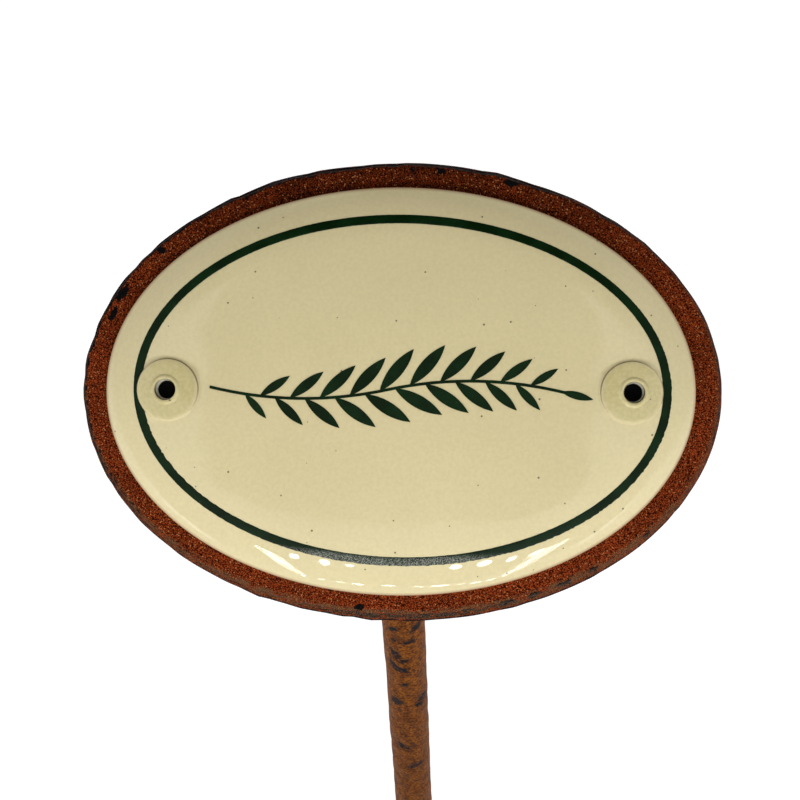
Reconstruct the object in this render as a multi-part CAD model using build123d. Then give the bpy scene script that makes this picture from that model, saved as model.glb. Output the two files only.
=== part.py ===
from build123d import *
from math import acos, asin, cos, degrees, pi, radians, sin, tan
import os

# A plant label stake: a domed oval enamel sign glued to an oval steel plate, which is welded to a bent
# round bar. Millimetres. +Z is up along the bar, +X is to the right of someone reading the sign, and the
# sign faces -Y and up. The origin is on the bar's axis, at the surface of the soil.

# The bar
rod_diameter = 8.0
stake_length = 245.0  # from the point up to the corner of the bend
soil_depth = 120.0
point_length = 22.0
point_flat_diameter = 1.6
bend_radius = 16.0
neck_length = 38.0  # from the corner of the bend to the upper end
neck_chamfer = 0.6
lean_back = radians(55.0)  # from upright

# The plate
plate_margin = 5.0  # bare plate all round the sign
plate_thickness = 3.0
edge_run = 1.0  # how far the edge slopes outwards from the front face to the back
edge_run_lower = 1.8  # the same at the lowest point of the oval
plate_arris_radius = 0.4
neck_corner_inset = 11.0  # from the plate's lower edge up to the corner of the bend

# The welds along the neck and over its end
weld_radius = 2.4
weld_root_gap = 0.05
weld_end_margin = 1.5
weld_top_setback = 4.0
weld_sink_share = 0.5  # of the weld's radius, by which its middle stands off the plate
weld_top_share = 0.33  # of the bar's radius, by which the top weld reaches to each side

# The pressed sign, its coats and its rolled rim
sign_width = 100.0
sign_height = 69.2
steel_thickness = 0.75
ground_thickness = 0.12
cream_thickness = 0.25
roll_width = 9.5  # from the sign's edge in to the flat field
roll_radius = 17.9
rim_land = 0.5  # flat strip on which the rim stands

# The raised seats round the screw holes
seat_inset = 11.0  # from the sign's edge in to the middle of a seat
seat_diameter = 10.4
seat_height = 0.45
seat_shoulder_radius = 0.2
lip_diameter = 4.9
lip_height = 0.25
lip_round = 0.12
hole_offset = 0.35  # how much nearer to the edge the hole is than the middle of its seat
hole_diameter = 3.6
hole_throat_diameter = 2.8
collar_length = 1.1  # below the underside of the field

# The adhesive
side_dab_diameter = 16.0
middle_dab_diameter = 20.0

# The fired line and the fired sprig
print_thickness = 0.06
line_width = 1.5
line_inset = 5.05  # from the sign's upper and lower edge in to the line
line_past_seat = 1.1  # how far the line's outer edge lies outside the seats
print_shift_x = 0.42
print_shift_y = 0.14
print_turn = -0.6  # degrees
sprig_gap = 1.5  # from the seats to the sprig's ends
stem_bow = 1.7  # how far each half of the stem bows off its chord
stem_width = 0.5
leaf_length = 9.2
leaf_width = 2.2
leaf_lean = 40.0  # degrees off the stem
leaf_pairs = 10
leaf_overlap = 0.8  # how far the end leaf starts inside the stem
end_leaf_share = 0.6  # length of the first and last leaves
leaf_span_share = 0.8  # the part of the stem that carries leaves

overrun = 1.0  # how far a cutting shape passes the face that it cuts
roll_sections = 6

# Worked out: the plate, the seats, the holes and the prints, from the sign's size
plate_width = sign_width + 2 * plate_margin
plate_height = sign_height + 2 * plate_margin
seat_spacing = sign_width - 2 * seat_inset
hole_spacing = seat_spacing + 2 * hole_offset
line_length = seat_spacing + seat_diameter + 2 * line_past_seat
line_height = sign_height - 2 * line_inset
leaf_overhang = leaf_length * end_leaf_share - leaf_overlap
sprig_length = seat_spacing - seat_diameter - 2 * sprig_gap
stem_length = sprig_length - leaf_overhang

# Worked out: the bar and the plate's place on it
rod_radius = rod_diameter / 2
tip_z = -soil_depth
corner_z = tip_z + stake_length
bend_tangent = bend_radius * tan(lean_back / 2)
neck_depth = plate_thickness + weld_root_gap + rod_radius
corner_height = neck_corner_inset - plate_height / 2
up_y, up_z = sin(lean_back), cos(lean_back)
out_y, out_z = -cos(lean_back), sin(lean_back)
face_centre = (
    0,
    -corner_height * up_y + neck_depth * out_y,
    corner_z - corner_height * up_z + neck_depth * out_z,
)
face_plane = Plane(origin=face_centre, x_dir=(1, 0, 0), z_dir=(0, out_y, out_z))

# Worked out: the heights of the sign above the plate's face
sheet_thickness = cream_thickness + 2 * ground_thickness + steel_thickness
under_radius = roll_radius - sheet_thickness
land_angle = asin((roll_width - rim_land) / under_radius)
field_height = roll_radius - under_radius * cos(land_angle)
roll_centre_height = field_height - roll_radius
seat_top = field_height + seat_height
ceiling_height = field_height - sheet_thickness
collar_foot = ceiling_height - collar_length

# The place of everything that is printed, which sits a little off the sign's middle
print_place = Pos(print_shift_x, print_shift_y, 0) * Rot(0, 0, print_turn)

# How a shape stands on its own middle
standing = (Align.CENTER, Align.CENTER, Align.MIN)

# The depth of each skin below the cream face
under_cream = cream_thickness
under_front_ground = under_cream + ground_thickness
under_steel = under_front_ground + steel_thickness


def oval(width, height, level):
    """An oval face of that width and height, at that level above the plate's face."""
    return Pos(0, 0, level) * Ellipse(width / 2, height / 2)


def rolled_section(depth, angle):
    """The sign's oval where a skin that lies depth under the cream face leans by angle."""
    radius = roll_radius - depth
    inset = roll_width - radius * sin(angle)
    level = roll_centre_height + radius * cos(angle)
    return oval(sign_width - 2 * inset, sign_height - 2 * inset, level)


def rolled_cap(depth, last_angle):
    """The solid under a skin, from its flat field out to where the roll leans by last_angle."""
    steps = range(roll_sections, -1, -1)
    return loft([rolled_section(depth, last_angle * i / roll_sections) for i in steps])


def outer_dome(depth):
    """The solid under one of the front skins, with its edge wall down to the plate's face."""
    edge = max(depth, 0)
    last_angle = asin((roll_width - edge) / (roll_radius - depth))
    wall_top = roll_centre_height + (roll_radius - depth) * cos(last_angle)
    wall = extrude(oval(sign_width - 2 * edge, sign_height - 2 * edge, 0), wall_top)
    return wall + rolled_cap(depth, last_angle)


def under_dome(depth):
    """The solid under one of the back skins. Its roll runs on until it is below the plate's face."""
    last_angle = acos((-overrun - roll_centre_height) / (roll_radius - depth))
    return rolled_cap(depth, last_angle)


def at_seats(shape):
    """The shape at the left seat and at the right one."""
    return [Pos(side * seat_spacing / 2, 0, 0) * shape for side in (-1, 1)]


def at_holes(shape):
    """The shape at the left screw hole and at the right one, which lie a little further out."""
    return [Pos(side * hole_spacing / 2, 0, 0) * shape for side in (-1, 1)]


def raised(dome, depth):
    """The dome with the two raised seats, as they are at that depth under the cream face."""
    radius = seat_diameter / 2 - depth
    top = seat_top - depth
    seat = extrude(Circle(radius), top)
    seat = fillet(seat.edges().group_by(Axis.Z)[-1], seat_shoulder_radius)
    for placed in at_seats(seat):
        dome += placed
    return dome


def hole_cone(growth):
    """A screw hole's funnel, wider all round by growth, from the collar's foot up through the lip."""
    mouth = seat_top + lip_height
    throat_radius = hole_throat_diameter / 2 + growth
    mouth_radius = hole_diameter / 2 + growth
    slope = (mouth_radius - throat_radius) / (mouth - collar_foot)
    height = mouth + overrun - collar_foot
    top_radius = throat_radius + slope * height
    return Pos(0, 0, collar_foot) * Cone(throat_radius, top_radius, height, align=standing)


def skin(dome, depth):
    """Everything under one skin of the sign, less the funnels that pass down through it."""
    body = raised(dome, depth)
    for funnel in at_holes(hole_cone(depth)):
        body -= funnel
    return body


def make_rod():
    """The bar: a swept round with one bend, a chamfered upper end and a ground point."""
    neck_end = (0, neck_length * up_y, corner_z + neck_length * up_z)
    path = FilletPolyline(neck_end, (0, 0, corner_z), (0, 0, tip_z + point_length), radius=bend_radius)
    start = Plane(origin=neck_end, z_dir=(0, -up_y, -up_z))
    bar = sweep(start * Circle(rod_radius), path=path)
    end_edge = bar.edges().filter_by(GeomType.CIRCLE).sort_by(Axis.Z)[-1]
    bar = chamfer(end_edge, neck_chamfer)
    point = Cone(point_flat_diameter / 2, rod_radius, point_length, align=standing)
    return bar + Pos(0, 0, tip_z) * point


def make_plate():
    """The oval plate. Its edge slopes out to the back, most at the bottom of the oval."""
    front_width = plate_width - 2 * edge_run
    front_height = plate_height - edge_run - edge_run_lower
    rise = (edge_run_lower - edge_run) / 2
    back = oval(plate_width, plate_height, -plate_thickness)
    front = Pos(0, rise, 0) * oval(front_width, front_height, 0)
    plate = loft([back, front], ruled=True)
    return fillet(plate.edges().filter_by(Plane.XY), plate_arris_radius)


def capsule(half_length):
    """A round rod of the weld's radius along Y with domed ends. Its seam is on the side of the plate."""
    reach = half_length + weld_radius
    domes = [
        CenterArc((0, half_length), weld_radius, 0, 90),
        CenterArc((0, -half_length), weld_radius, -90, 90),
    ]
    sides = [
        Line((weld_radius, -half_length), (weld_radius, half_length)),
        Line((0, -reach), (0, reach)),
    ]
    return Rot(0, -90, 0) * revolve(make_face([*domes, *sides]), axis=Axis.Y)


def make_welds():
    """Two fillet welds beside the neck and a short one over its end, cut to the bar and the plate."""
    side = rod_radius
    level = -plate_thickness - weld_sink_share * weld_radius
    low = corner_height + bend_tangent + weld_end_margin + weld_radius
    high = corner_height + neck_length - weld_top_setback - weld_radius
    middle = (low + high) / 2
    neck_top = corner_height + neck_length
    beads = {
        "weld_bead_left": Pos(-side, middle, level) * capsule((high - low) / 2),
        "weld_bead_right": Pos(side, middle, level) * capsule((high - low) / 2),
        "weld_bead_top": Pos(0, neck_top, level) * Rot(0, 0, 90) * capsule(weld_top_share * rod_radius),
    }
    slab = Pos(0, 0, -plate_thickness) * Box(plate_width, plate_height, plate_thickness, align=standing)
    return {name: face_plane * (bead - slab) - rod for name, bead in beads.items()}


def make_sign():
    """The three coats and sheets of the sign, and the hollow behind it."""
    cream_space = raised(outer_dome(0), 0)
    lip = extrude(Circle(lip_diameter / 2), seat_top + lip_height)
    lip = fillet(lip.edges().group_by(Axis.Z)[-1], lip_round)
    for placed in at_holes(lip):
        cream_space += placed
    for funnel in at_holes(hole_cone(0)):
        cream_space -= funnel
    ground_space = skin(outer_dome(under_cream), under_cream)
    steel_space = skin(outer_dome(under_front_ground), under_front_ground)
    back_space = skin(under_dome(under_steel), under_steel)
    hollow = skin(under_dome(sheet_thickness), sheet_thickness)
    steel = steel_space - back_space
    return {
        "sign_cream_enamel": cream_space - ground_space,
        "sign_ground_coat": ground_space - steel - hollow,
        "sign_steel_core": steel,
    }, hollow


def make_dabs(hollow):
    """Dabs of adhesive that fill the hollow from the plate's face up to the sign's back."""
    side_dab = extrude(Circle(side_dab_diameter / 2), seat_top)
    middle_dab = extrude(Circle(middle_dab_diameter / 2), seat_top)
    return [dab & hollow for dab in [*at_holes(side_dab), middle_dab]]


def make_line():
    """The fired line: a thin skin over the rolled rim, left open where a raised seat stands in it."""
    outline = Ellipse(line_length / 2, line_height / 2)
    outline -= Ellipse(line_length / 2 - line_width, line_height / 2 - line_width)
    ring = extrude(print_place * outline, field_height + overrun)
    line = (outer_dome(-print_thickness) - outer_dome(0)) & ring
    for seat in at_seats(extrude(Circle(seat_diameter / 2), field_height + overrun)):
        line -= seat
    return line


def stem_point(share):
    """Place and direction of the stem at that share of its length: an arc bowed down, then one bowed up."""
    chord = stem_length / 2
    radius = (chord**2 / 4 + stem_bow**2) / (2 * stem_bow)
    side = -1 if share < 0.5 else 1
    along = stem_length * (share - 0.5)
    from_middle = along - side * chord / 2
    rise = side * ((radius**2 - from_middle**2) ** 0.5 - (radius - stem_bow))
    slope = -side * degrees(asin(from_middle / radius))
    return Pos(along, rise, 0) * Rot(0, 0, slope)


def leaf(size):
    """A pointed leaf of that share of full size. It starts at the origin and points along +X."""
    length, half_width = leaf_length * size, leaf_width * size / 2
    lower = ThreePointArc((0, 0), (length / 2, -half_width), (length, 0))
    upper = ThreePointArc((length, 0), (length / 2, half_width), (0, 0))
    return make_face([lower, upper])


def make_sprig():
    """The fired sprig: a thin stem with pairs of leaves, longest in its middle, and one at its end."""
    half = stem_length / 2
    left = ThreePointArc((-half, 0), (-half / 2, -stem_bow), (0, 0))
    right = ThreePointArc((0, 0), (half / 2, stem_bow), (half, 0))
    shape = trace([left, right], stem_width)
    last = 2 * leaf_pairs - 1
    for i in range(last + 1):
        share = (1 - leaf_span_share) / 2 + leaf_span_share * i / last
        size = end_leaf_share + (1 - end_leaf_share) * sin(pi * i / last)
        side = 1 if i % 2 else -1
        shape += stem_point(share) * Rot(0, 0, side * leaf_lean) * leaf(size)
    shape += stem_point(1) * Pos(-leaf_overlap, 0, 0) * leaf(end_leaf_share)
    shape = print_place * Pos(-leaf_overhang / 2, 0, 0) * shape
    return extrude(Pos(0, 0, field_height) * shape, print_thickness)


def save(name, shape):
    """Writes one sub-part."""
    export_step(shape, f"parts/{name}.step")


rod = make_rod()
save("stake_rod", rod)
save("backing_plate", face_plane * make_plate())
for name, bead in make_welds().items():
    save(name, bead)
coats, hollow = make_sign()
for name, coat in coats.items():
    save(name, face_plane * coat)
save("adhesive_dabs", Compound(children=[face_plane * dab for dab in make_dabs(hollow)]))
save("sign_border_line", face_plane * make_line())
save("sign_sprig_print", face_plane * make_sprig())
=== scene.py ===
import bpy
import numpy as np
from math import asin, atan2, cos, pi, radians, sin, sqrt, tan
from mathutils import Matrix, Vector


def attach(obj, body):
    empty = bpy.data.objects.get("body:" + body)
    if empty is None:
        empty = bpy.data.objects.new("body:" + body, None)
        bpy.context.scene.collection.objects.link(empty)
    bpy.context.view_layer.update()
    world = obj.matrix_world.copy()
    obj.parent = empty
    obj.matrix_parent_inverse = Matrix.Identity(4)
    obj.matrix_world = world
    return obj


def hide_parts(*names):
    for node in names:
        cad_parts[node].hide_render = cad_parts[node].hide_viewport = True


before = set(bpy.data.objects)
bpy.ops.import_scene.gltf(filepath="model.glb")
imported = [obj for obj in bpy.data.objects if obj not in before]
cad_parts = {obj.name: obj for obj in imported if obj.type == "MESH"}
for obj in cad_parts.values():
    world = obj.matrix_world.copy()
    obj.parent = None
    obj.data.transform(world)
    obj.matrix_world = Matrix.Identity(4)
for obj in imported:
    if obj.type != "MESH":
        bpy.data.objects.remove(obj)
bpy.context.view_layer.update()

# The bar
# A round mild-steel bar, bent once so that the label leans back, and ground to a point for the soil. It is
# hot-rolled, bent over a former and lacquered rust brown, and flecks of black mill scale show through the
# lacquer. Sizes are in metres.
bar_radius = 0.004
tip_height = -0.120
corner_height = 0.125
bar_point_length = 0.022
bar_point_radius = 0.0008
bend_radius = 0.016
neck_length = 0.038
neck_chamfer = 0.0006
lean_back = radians(55)
bar_dent = 0.00005
bar_dent_fineness = 900
bar_dent_seed = 3
wave_count = 9
wave_turns = 4
bar_columns = 96
blotch_soft_long = 1.25
blotch_soft_short = 1.4

# Where the larger blotches of black scale lie on the bar: height in mm, turn round the bar in radians (a
# quarter turn back is its front), half length and half width in mm, and slope of the blotch across the bar
bar_blotches = [
    (95.5, -1.98, 1.8, 0.8, -1.05), (89.7, -1.81, 1.4, 0.8, -0.16), (91.1, -2.12, 1.4, 0.51, -0.95),
    (93.4, -1.55, 1, 0.45, 0.42), (105.2, -0.87, 1.3, 0.72, 0.5), (100.7, -1.34, 1.1, 0.38, 0.23),
    (101.1, -2.02, 0.6, 0.48, 0.45), (83.9, -1.62, 0.8, 0.42, 0.47), (76.2, -0.7, 0.9, 0.96, -0.42),
    (76, -2.11, 1.6, 0.8, 1.13), (74.2, -0.96, 0.7, 0.56, 1.04), (105.4, -2.05, 1.1, 0.45, 0.86),
    (56, -1.9, 1.5, 0.72, -0.6), (47, -1.2, 1.3, 0.64, 0.4),
]


class Wire:
    """A shader socket that Python's arithmetic works on: each operator, and larger(), adds one Math node."""

    def __init__(self, paint, socket):
        self.paint = paint
        self.socket = socket

    def maths(self, operation, first, second):
        return self.paint.node("ShaderNodeMath", {"operation": operation}, {0: first, 1: second})

    def __add__(self, other):
        return self.maths("ADD", self, other)

    def __radd__(self, other):
        return self.maths("ADD", other, self)

    def __sub__(self, other):
        return self.maths("SUBTRACT", self, other)

    def __rsub__(self, other):
        return self.maths("SUBTRACT", other, self)

    def __mul__(self, other):
        return self.maths("MULTIPLY", self, other)

    def __rmul__(self, other):
        return self.maths("MULTIPLY", other, self)

    def larger(self, other):
        return self.maths("MAXIMUM", self, other)


class Paint:
    """The shader of one material or of the world. node() adds any node: first its settings, then its
    sockets by name or number, each with a value or a wire."""

    def __init__(self, owner):
        owner.use_nodes = True
        self.owner = owner
        self.tree = owner.node_tree
        self.tree.nodes.clear()

    def node(self, kind, settings=None, sockets=None, output=0):
        made = self.tree.nodes.new(kind)
        for key, value in (settings or {}).items():
            setattr(made, key, value)
        for key, value in (sockets or {}).items():
            if isinstance(value, Wire):
                self.tree.links.new(value.socket, made.inputs[key])
            else:
                made.inputs[key].default_value = value
        return Wire(self, made.outputs[output]) if made.outputs else None

    def place(self, stretch=(1, 1, 1), turn=(0, 0, 0)):
        """Object coordinates in metres, turned, then divided by the stretch along each axis."""
        at = self.node("ShaderNodeTexCoord", output=3)
        scale = tuple(1 / s for s in stretch)
        settings = {"vector_type": "TEXTURE"}
        turned = self.node("ShaderNodeMapping", settings, {"Vector": at, "Rotation": turn})
        return self.node("ShaderNodeVectorMath", {"operation": "MULTIPLY"}, {0: turned, 1: scale})

    def stored(self, name, output=2):
        """What attribute() stored on the piece under that name: a number, or with output 1 a place."""
        return self.node("ShaderNodeAttribute", {"attribute_name": name}, output=output)

    def noise(self, at, grain, detail=3, rough=0.6):
        """Cloudy noise from 0 to 1 whose clouds are about grain metres across."""
        sockets = {"Vector": at, "Scale": 1 / grain, "Detail": detail, "Roughness": rough}
        return self.node("ShaderNodeTexNoise", None, sockets)

    def rise(self, value, low, high, bottom=0.0, top=1.0):
        """A smooth rise from bottom to top while value goes from low to high."""
        settings = {"interpolation_type": "SMOOTHSTEP"}
        sockets = {"Value": value, "From Min": low, "From Max": high, "To Min": bottom, "To Max": top}
        return self.node("ShaderNodeMapRange", settings, sockets)

    def mix(self, share, first, second):
        """The first colour where share is 0 and the second where it is 1."""
        return self.node("ShaderNodeMix", {"data_type": "RGBA"}, {0: share, 6: first, 7: second}, 2)

    def tint(self, colour, strength):
        """The colour times a grey strength, through a vector so that it keeps its hue."""
        return self.node("ShaderNodeVectorMath", {"operation": "SCALE"}, {0: colour, "Scale": strength})

    def bump(self, height, depth):
        """A normal for a relief of that height, from 0 to 1, and that depth in metres."""
        return self.node("ShaderNodeBump", None, {"Height": height * depth, "Distance": 1.0})

    def finish(self, sockets):
        """The glossy or dull surface itself."""
        surface = self.node("ShaderNodeBsdfPrincipled", None, sockets)
        self.node("ShaderNodeOutputMaterial", None, {"Surface": surface})
        return self.owner


def material(name):
    """A new material with an empty shader."""
    return Paint(bpy.data.materials.new(name))


def attribute(piece, name, values):
    """Stores one number or one place per point of the piece, for its material to read."""
    kind, field = ("FLOAT", "value") if values.ndim == 1 else ("FLOAT_VECTOR", "vector")
    layer = piece.data.attributes.new(name, kind, "POINT")
    layer.data.foreach_set(field, values.astype(np.float32).ravel())


def skin_piece(name, points, faces, node, paint):
    """A smooth piece from points and faces, which stands for a CAD node. Faces that point inwards, as the
    signed volume of their triangles tells, are turned round."""
    volume = 0.0
    for group in faces:
        first = points[group[:, 0]]
        for i in range(1, group.shape[1] - 1):
            volume += np.sum(first * np.cross(points[group[:, i]], points[group[:, i + 1]]))
    turned = [group if volume > 0 else group[:, ::-1] for group in faces]
    mesh = bpy.data.meshes.new(name)
    mesh.from_pydata(points.tolist(), [], [f for group in turned for f in group.tolist()])
    mesh.polygons.foreach_set("use_smooth", np.ones(len(mesh.polygons), bool))
    mesh.materials.append(paint)
    mesh.update()
    piece = bpy.data.objects.new(name, mesh)
    bpy.context.scene.collection.objects.link(piece)
    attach(piece, "root")
    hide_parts(node)
    return piece


def full_turn(count):
    """Angles in equal steps all the way round."""
    return np.linspace(0, 2 * pi, count, endpoint=False)


def soft_patch(right, up, slope, half_long, half_short):
    """How far a place lies in a long patch turned by its slope: 1 in the middle, falling as a bell curve."""
    long_way = (right * cos(slope) + up * sin(slope)) / half_long
    short_way = (up * cos(slope) - right * sin(slope)) / half_short
    return np.exp(-(long_way**2) - short_way**2)


def ring_faces(rows, columns):
    """Quads between neighbouring rings of points, numbered row by row. The last column meets the first."""
    row, column = np.meshgrid(np.arange(rows - 1), np.arange(columns), indexing="ij")
    beside = (column + 1) % columns
    corners = [row * columns + column, row * columns + beside]
    corners += [(row + 1) * columns + beside, (row + 1) * columns + column]
    return np.stack(corners, -1).reshape(-1, 4)


def closed_skin(rings):
    """Points and faces of the closed skin through rings[row, column]: quads between the rings, and a fan
    round the middle of the first and of the last ring."""
    rows, columns = rings.shape[:2]
    points = np.concatenate([rings.reshape(-1, 3), rings[[0, -1]].mean(axis=1)])
    first = np.arange(columns)
    beside = (first + 1) % columns
    last = (rows - 1) * columns
    low = np.stack([first, np.full(columns, rows * columns), beside], 1)
    high = np.stack([last + first, last + beside, np.full(columns, rows * columns + 1)], 1)
    return points, [ring_faces(rows, columns), low, high]


def waves(along, around, fineness, seed):
    """Smooth unevenness of about -1 to 1: a sum of sines with seeded pitches along a piece. Their turns
    around it are whole numbers, so that the pattern meets itself."""
    pick = np.random.default_rng(seed)
    total = 0
    for _ in range(wave_count):
        pitch = pick.uniform(-fineness, fineness)
        turns = pick.integers(-wave_turns, wave_turns + 1)
        total = total + np.sin(pitch * along + turns * around + pick.uniform(0, 2 * pi))
    return total / sqrt(wave_count)


def bar_rings(along, around):
    """Points of the bar's skin. The middle line goes straight up, turns by the lean on an arc of the bend
    radius and goes straight on. The radius grows over the point and shrinks over the chamfer."""
    bend_tangent = bend_radius * tan(lean_back / 2)
    straight = corner_height - bend_tangent - tip_height
    arc = bend_radius * lean_back
    total = straight + arc + neck_length - bend_tangent
    along = along * total
    turn = np.clip((along - straight) / bend_radius, 0, lean_back)
    past = np.maximum(along - straight - arc, 0)
    y = bend_radius * (1 - np.cos(turn)) + past * sin(lean_back)
    z = tip_height + np.minimum(along, straight) + bend_radius * np.sin(turn) + past * cos(lean_back)
    ends = [0, bar_point_length, total - neck_chamfer, total]
    radius = np.interp(along, ends, [bar_point_radius, bar_radius, bar_radius, bar_radius - neck_chamfer])
    dent = bar_dent * (waves(along, around, bar_dent_fineness, bar_dent_seed) - 1)
    radius = radius + dent * np.clip(radius / bar_radius, 0, 1)
    side, out = radius * np.cos(around), radius * np.sin(around)
    return np.stack([side, y + out * np.cos(turn), z - out * np.sin(turn)], -1)


def bar_paint():
    """Rust-brown lacquer that runs from orange to red-brown in soft streaks along the bar, with fine grains.
    Black scale shows in blotches that lie slightly across it: stretched noise, cut off at a threshold that
    a wider noise moves, so that the blotches come in groups."""
    paint = material("rusty_bar_lacquer")
    at = paint.place()
    across = paint.place(stretch=(1.3, 1.3, 0.75), turn=(0.25, 0.3, 0))
    streak = paint.noise(paint.place(stretch=(1, 1, 2)), 0.0011, 3, 0.65)
    grain = paint.noise(across, 0.00042)
    cloud = paint.noise(at, 0.0085, 2, 0.5)
    fleck = paint.noise(across, 0.0016, 5, 0.78) + cloud * 0.4
    blotch = paint.stored("blotch")
    lump = paint.rise(paint.noise(across, 0.0007, 3, 0.7), 0.36, 0.60, 0.2, 1.25)
    scale = paint.rise(fleck + blotch * lump * 0.55 + grain * 0.25, 0.92, 1.12)
    brown = paint.mix(paint.rise(streak, 0.30, 0.66), (0.085, 0.022, 0.0020, 1), (0.190, 0.058, 0.0062, 1))
    brown = paint.tint(brown, paint.rise(grain, 0.36, 0.66, 0.3, 1.65) - blotch * 0.5)
    black = paint.mix(paint.rise(grain, 0.5, 0.7), (0.003, 0.003, 0.004, 1), (0.028, 0.024, 0.025, 1))
    return paint.finish({
        "Base Color": paint.mix(scale, brown, black),
        "Roughness": 0.42 + grain * 0.25,
        "Specular IOR Level": 0.03,
        "Normal": paint.bump(grain * 0.6 + fleck - scale * 0.4, 0.00009),
    })


# Shares of the bar's length at which its rings stand, closest where the photo shows the bar
bar_rows = np.concatenate([
    np.linspace(0, 0.08, 30),
    np.linspace(0.085, 0.57, 120),
    np.linspace(0.5715, 0.815, 180),
    np.linspace(0.817, 0.996, 90),
    np.linspace(0.9965, 1, 6),
])
bar_along, bar_around = np.meshgrid(bar_rows, full_turn(bar_columns), indexing="ij")
bar_points, bar_faces = closed_skin(bar_rings(bar_along, bar_around))
bar_piece = skin_piece("bent_bar", bar_points, bar_faces, "stake_rod", bar_paint())
bar_turn = np.arctan2(bar_points[:, 1], bar_points[:, 0])
blotch = np.zeros(len(bar_points))
for height, turn, half_length, half_width, slope in bar_blotches:
    off_side, off_up = 1000 * bar_radius * (bar_turn - turn), 1000 * bar_points[:, 2] - height
    soft_length, soft_width = blotch_soft_long * half_length, blotch_soft_short * half_width
    blotch = np.maximum(blotch, soft_patch(off_side, off_up, slope, soft_length, soft_width))
attribute(bar_piece, "blotch", blotch)

# The plate
# An oval of 3 mm steel plate, cut out, and then hammered all round its edge, which leaves short flats.
# It is powder-coated in a speckled rust brown. The cut edge keeps its black scale, which also shows in
# patches where the coat is thin. The bar's neck is welded to its back.
sign_half_width = 0.050
sign_half_height = 0.0346
plate_margin = 0.005
plate_thickness = 0.003
edge_run = 0.001
edge_run_lower = 0.0018
arris_round = 0.0004
corner_inset = 0.011
weld_gap = 0.00005
hammer_pitch = 0.0026
hammer_depth = 0.00060
hammer_reach = 0.0022
hammer_seed = 11
hammer_stray = 0.35
hammer_shared = 0.6
hammer_least = 0.25
hammer_left = 0.55
hammer_left_reach = 0.5
hammer_left_turn = 0.25
hammer_top = 0.5
hammer_dip = 0.5
plate_columns = 1200
# Painted shade along the plate's upper margin: where it begins above the middle, and its run
dark_margin_from = 0.012
dark_margin_run = 0.024
front_arris_width = 0.0006
worn_width = 0.0003
back_line_from = 0.62
back_line_run = 0.12
back_line_share = 0.75
side_reach = 0.49
side_fade = 3
side_worn = 0.75
side_lower_from = 0.15
side_lower_rise = 1.2
arris_lower_from = 0.35
plate_half_width = sign_half_width + plate_margin
plate_half_height = sign_half_height + plate_margin
neck_depth = plate_thickness + weld_gap + bar_radius
corner_from_centre = corner_inset - plate_half_height
face_right = np.array([1, 0, 0])
face_up = np.array([0, sin(lean_back), cos(lean_back)])
face_out = np.array([0, -cos(lean_back), sin(lean_back)])
face_centre = np.array([0, 0, corner_height]) - corner_from_centre * face_up + neck_depth * face_out

# Places and half lengths, in mm, of the larger patches where black scale shows at the plate's rim: to the
# right of the plate's middle, above it, half length along the rim and half length across it
black_patches = [
    (2, 37.8, 1.1, 0.8), (7, 37.5, 1.2, 0.7), (18.5, 35.5, 2.2, 0.9), (-26.5, 33, 0.5, 1.4),
    (-30, 32.5, 2.2, 0.5), (-37, 28, 2.4, 0.6), (-41, 24, 1.2, 1.2), (-47.5, 16.5, 3, 0.9),
    (-49, 13, 2, 0.8), (-6.5, -36.8, 1, 0.8), (-34.5, -30, 1.4, 0.8), (-28, -33, 1.2, 0.5),
    (18.5, -35.8, 2.2, 0.7), (23, -34.4, 2, 0.7), (28, -32.5, 2.4, 0.7), (33, -30, 1.6, 0.8),
    (42, -24, 1.2, 0.6), (12, -37.2, 1.8, 0.5),
]

# Shares of black scale round the rim: angle in degrees from the right, on the cut edge, on the front arris
rim_shares = [
    (-180, 0.85, 0.75), (-155, 0.66, 0.60), (-120, 0.50, 0.35), (-100, 0.76, 0.20), (-80, 0.80, 0.20),
    (-62, 0.55, 0.20), (-30, 0.46, 0.30), (0, 0.70, 0.35), (30, 0.80, 0.50), (60, 0.85, 0.60),
    (90, 0.90, 0.62), (120, 0.90, 0.70), (150, 0.88, 0.80), (180, 0.85, 0.75),
]


def bell(distance, width):
    """1 where the distance is 0, falling as a bell curve whose reach is the width."""
    return np.exp(-((distance / width) ** 2))


def on_face(x, up, out):
    """Points of the row's frame from places on the plate: right, up its slope, and out of its face."""
    x, up, out = np.broadcast_arrays(x, up, out)
    return face_centre + x[..., None] * face_right + up[..., None] * face_up + out[..., None] * face_out


def hammered(angle, level_share):
    """Depth of the hammered flats at that angle of the oval: straight lines between seeded depths at knots a
    hammer pitch apart. level_share, 0 at the front and 1 at the back, blends from one row to another. The
    blows fell harder on the left and at the top."""
    pick = np.random.default_rng(hammer_seed)
    rim = pi * (plate_half_width + plate_half_height)
    count = int(rim / hammer_pitch)
    stray = pick.uniform(-hammer_stray, hammer_stray, count)
    knots = np.sort((np.arange(count) + stray) * 2 * pi / count)
    shared = hammer_shared * pick.uniform(0, 1, count)
    own = [(1 - hammer_shared) * pick.uniform(0, 1, count) for _ in range(2)]
    front, back = [np.interp(angle, knots, shared + depths, period=2 * pi) for depths in own]
    left = np.clip(hammer_left_reach - np.cos(angle - hammer_left_turn), 0, 1)
    top = np.clip(np.sin(angle), 0, 1)
    harder = hammer_least + hammer_left * left + hammer_top * top
    return hammer_depth * harder * (front + (back - front) * level_share)


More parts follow.
